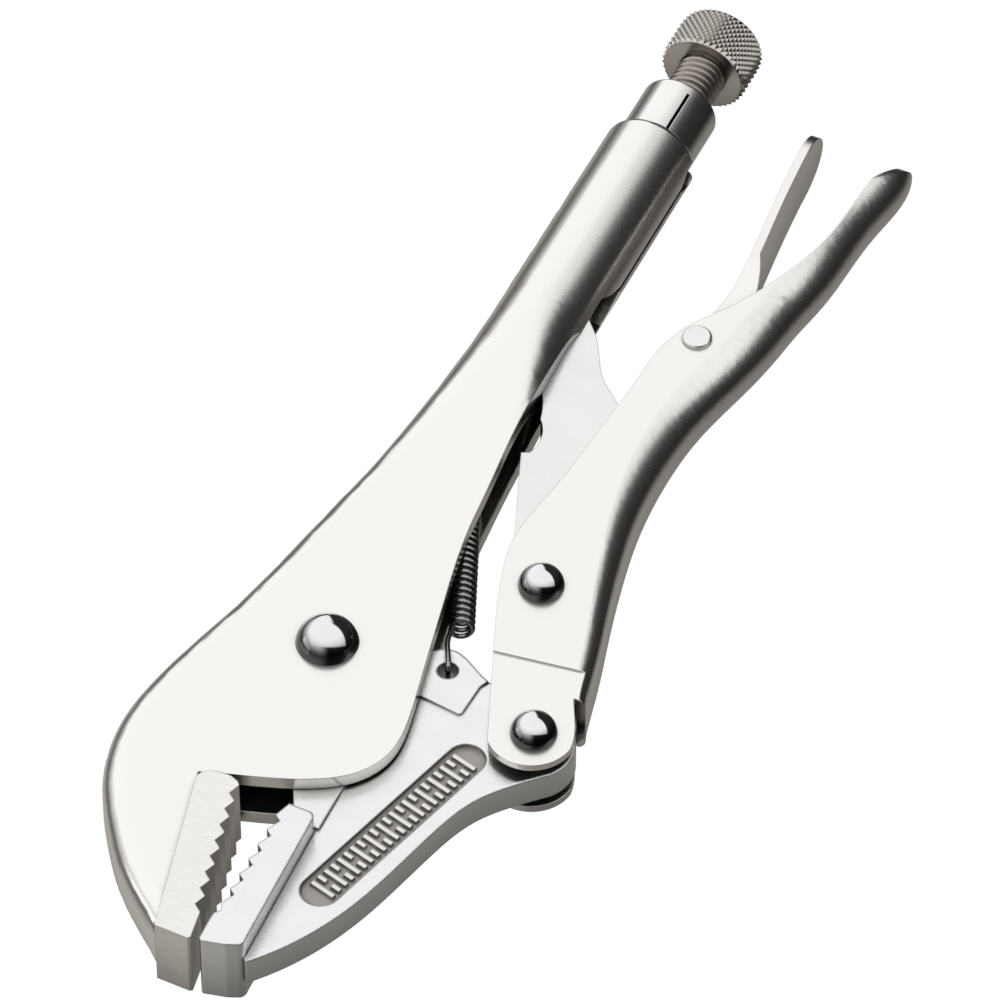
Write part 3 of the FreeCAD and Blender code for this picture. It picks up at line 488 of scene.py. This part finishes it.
# The panel's left, slanted right and near edges, as sideways over upward: outside, inside.
PANEL_EDGES = ((-2.4, -1.9), (2.04, 1.72), (-1.35, -1.05))
# The right edge leans this much for each step away, up to a limit.
PANEL_LEAN, LEAN_STOPS = 1.75, 0.88
WINDOW_SIDE = RIGHT * -0.996 + AWAY * -0.09
ROOM_LIGHT = 0.022


def surroundings():
    """A white ceiling panel open to the back, a low light on the left, dark sides and a grey floor.
    The camera itself sees plain white."""
    world = bpy.data.worlds.new("studio")
    bpy.context.scene.world = world
    world.use_nodes = True
    shader = Shader(world.node_tree)
    look = shader.node("TexCoord").outputs["Generated"]
    away = shader.along(look, AWAY)
    right = shader.along(look, RIGHT)
    up = shader.along(look, UP)
    height = shader.maths("MAXIMUM", up, 0.001)
    panel = shader.ramp(up, 0.02, 0.06)
    right_share = shader.maths("DIVIDE", right, height)
    away_share = shader.maths("DIVIDE", away, height)
    lean = shader.maths("MULTIPLY", shader.maths("MINIMUM", away_share, LEAN_STOPS), PANEL_LEAN)
    slanted = shader.maths("ADD", right_share, lean)
    for value, (outside, inside) in zip((right_share, slanted, away_share), PANEL_EDGES):
        panel = shader.maths("MULTIPLY", panel, shader.ramp(value, outside, inside))
    level = shader.maths("SQRT", shader.maths("SUBTRACT", 1.0, shader.maths("MULTIPLY", up, up)))
    # The window stands on the horizon, to the left.
    aside = shader.maths("DIVIDE", shader.along(look, WINDOW_SIDE), level)
    window = shader.ramp(aside, 0.91, 0.95)
    window = shader.maths("MULTIPLY", window, shader.ramp(up, -0.02, 0.0))
    window = shader.maths("MULTIPLY", window, shader.ramp(up, 0.24, 0.20))
    # The wall on the left brightens as it rises, and the floor as it drops, more on the left.
    on_left = shader.ramp(right, 0.1, -0.5)
    wall = shader.maths("MULTIPLY", on_left, shader.ramp(up, -0.2, 0.45, 0.04, 0.8))
    on_right_floor = shader.ramp(up, -0.24, -0.68, 0.0, 0.30)
    on_left_floor = shader.ramp(up, -0.12, -0.62, 0.03, 0.48)
    floor = shader.node("MapRange", {"Value": on_left, "To Min": on_right_floor, "To Max": on_left_floor})
    floor = floor.outputs[0]
    above = shader.maths("ADD", shader.maths("MAXIMUM", panel, wall), window)
    total = shader.maths("ADD", shader.maths("ADD", above, floor), ROOM_LIGHT)
    warm = shader.node("MixRGB", {0: shader.ramp(up, -0.2, 0.0), 1: (1, 0.96, 0.9, 1), 2: (1, 1, 1, 1)})
    lit = shader.node("Background", {"Color": warm.outputs[0], "Strength": total}).outputs[0]
    plain = shader.node("Background", {"Color": (1, 1, 1, 1), "Strength": 1.0}).outputs[0]
    seen = shader.node("LightPath").outputs["Is Camera Ray"]
    mixed = shader.node("MixShader", {0: seen, 1: lit, 2: plain}).outputs[0]
    shader.node("OutputWorld", {"Surface": mixed})


CAMERA_TARGET = Vector((-0.00233, 0.00069, 0.0115))
CAMERA_AZIMUTH, CAMERA_ELEVATION = math.radians(-65.05), math.radians(48)
CAMERA_DISTANCE, FOCAL_LENGTH = 1.5, 291.66


def camera():
    """A long lens, 48 degrees above the bench."""
    level = math.cos(CAMERA_ELEVATION)
    back = Vector((math.sin(CAMERA_AZIMUTH) * level, -math.cos(CAMERA_AZIMUTH) * level,
                   math.sin(CAMERA_ELEVATION)))
    lens = bpy.data.cameras.new("camera")
    lens.lens = FOCAL_LENGTH
    lens.sensor_width = 36
    lens.clip_start = 0.1
    made = bpy.data.objects.new("camera", lens)
    bpy.context.scene.collection.objects.link(made)
    made.location = CAMERA_TARGET + back * CAMERA_DISTANCE
    made.rotation_mode = "QUATERNION"
    made.rotation_quaternion = (-back).to_track_quat("-Z", "Y")
    bpy.context.scene.camera = made


surroundings()
camera()
bpy.context.scene.view_settings.view_transform = "Standard"
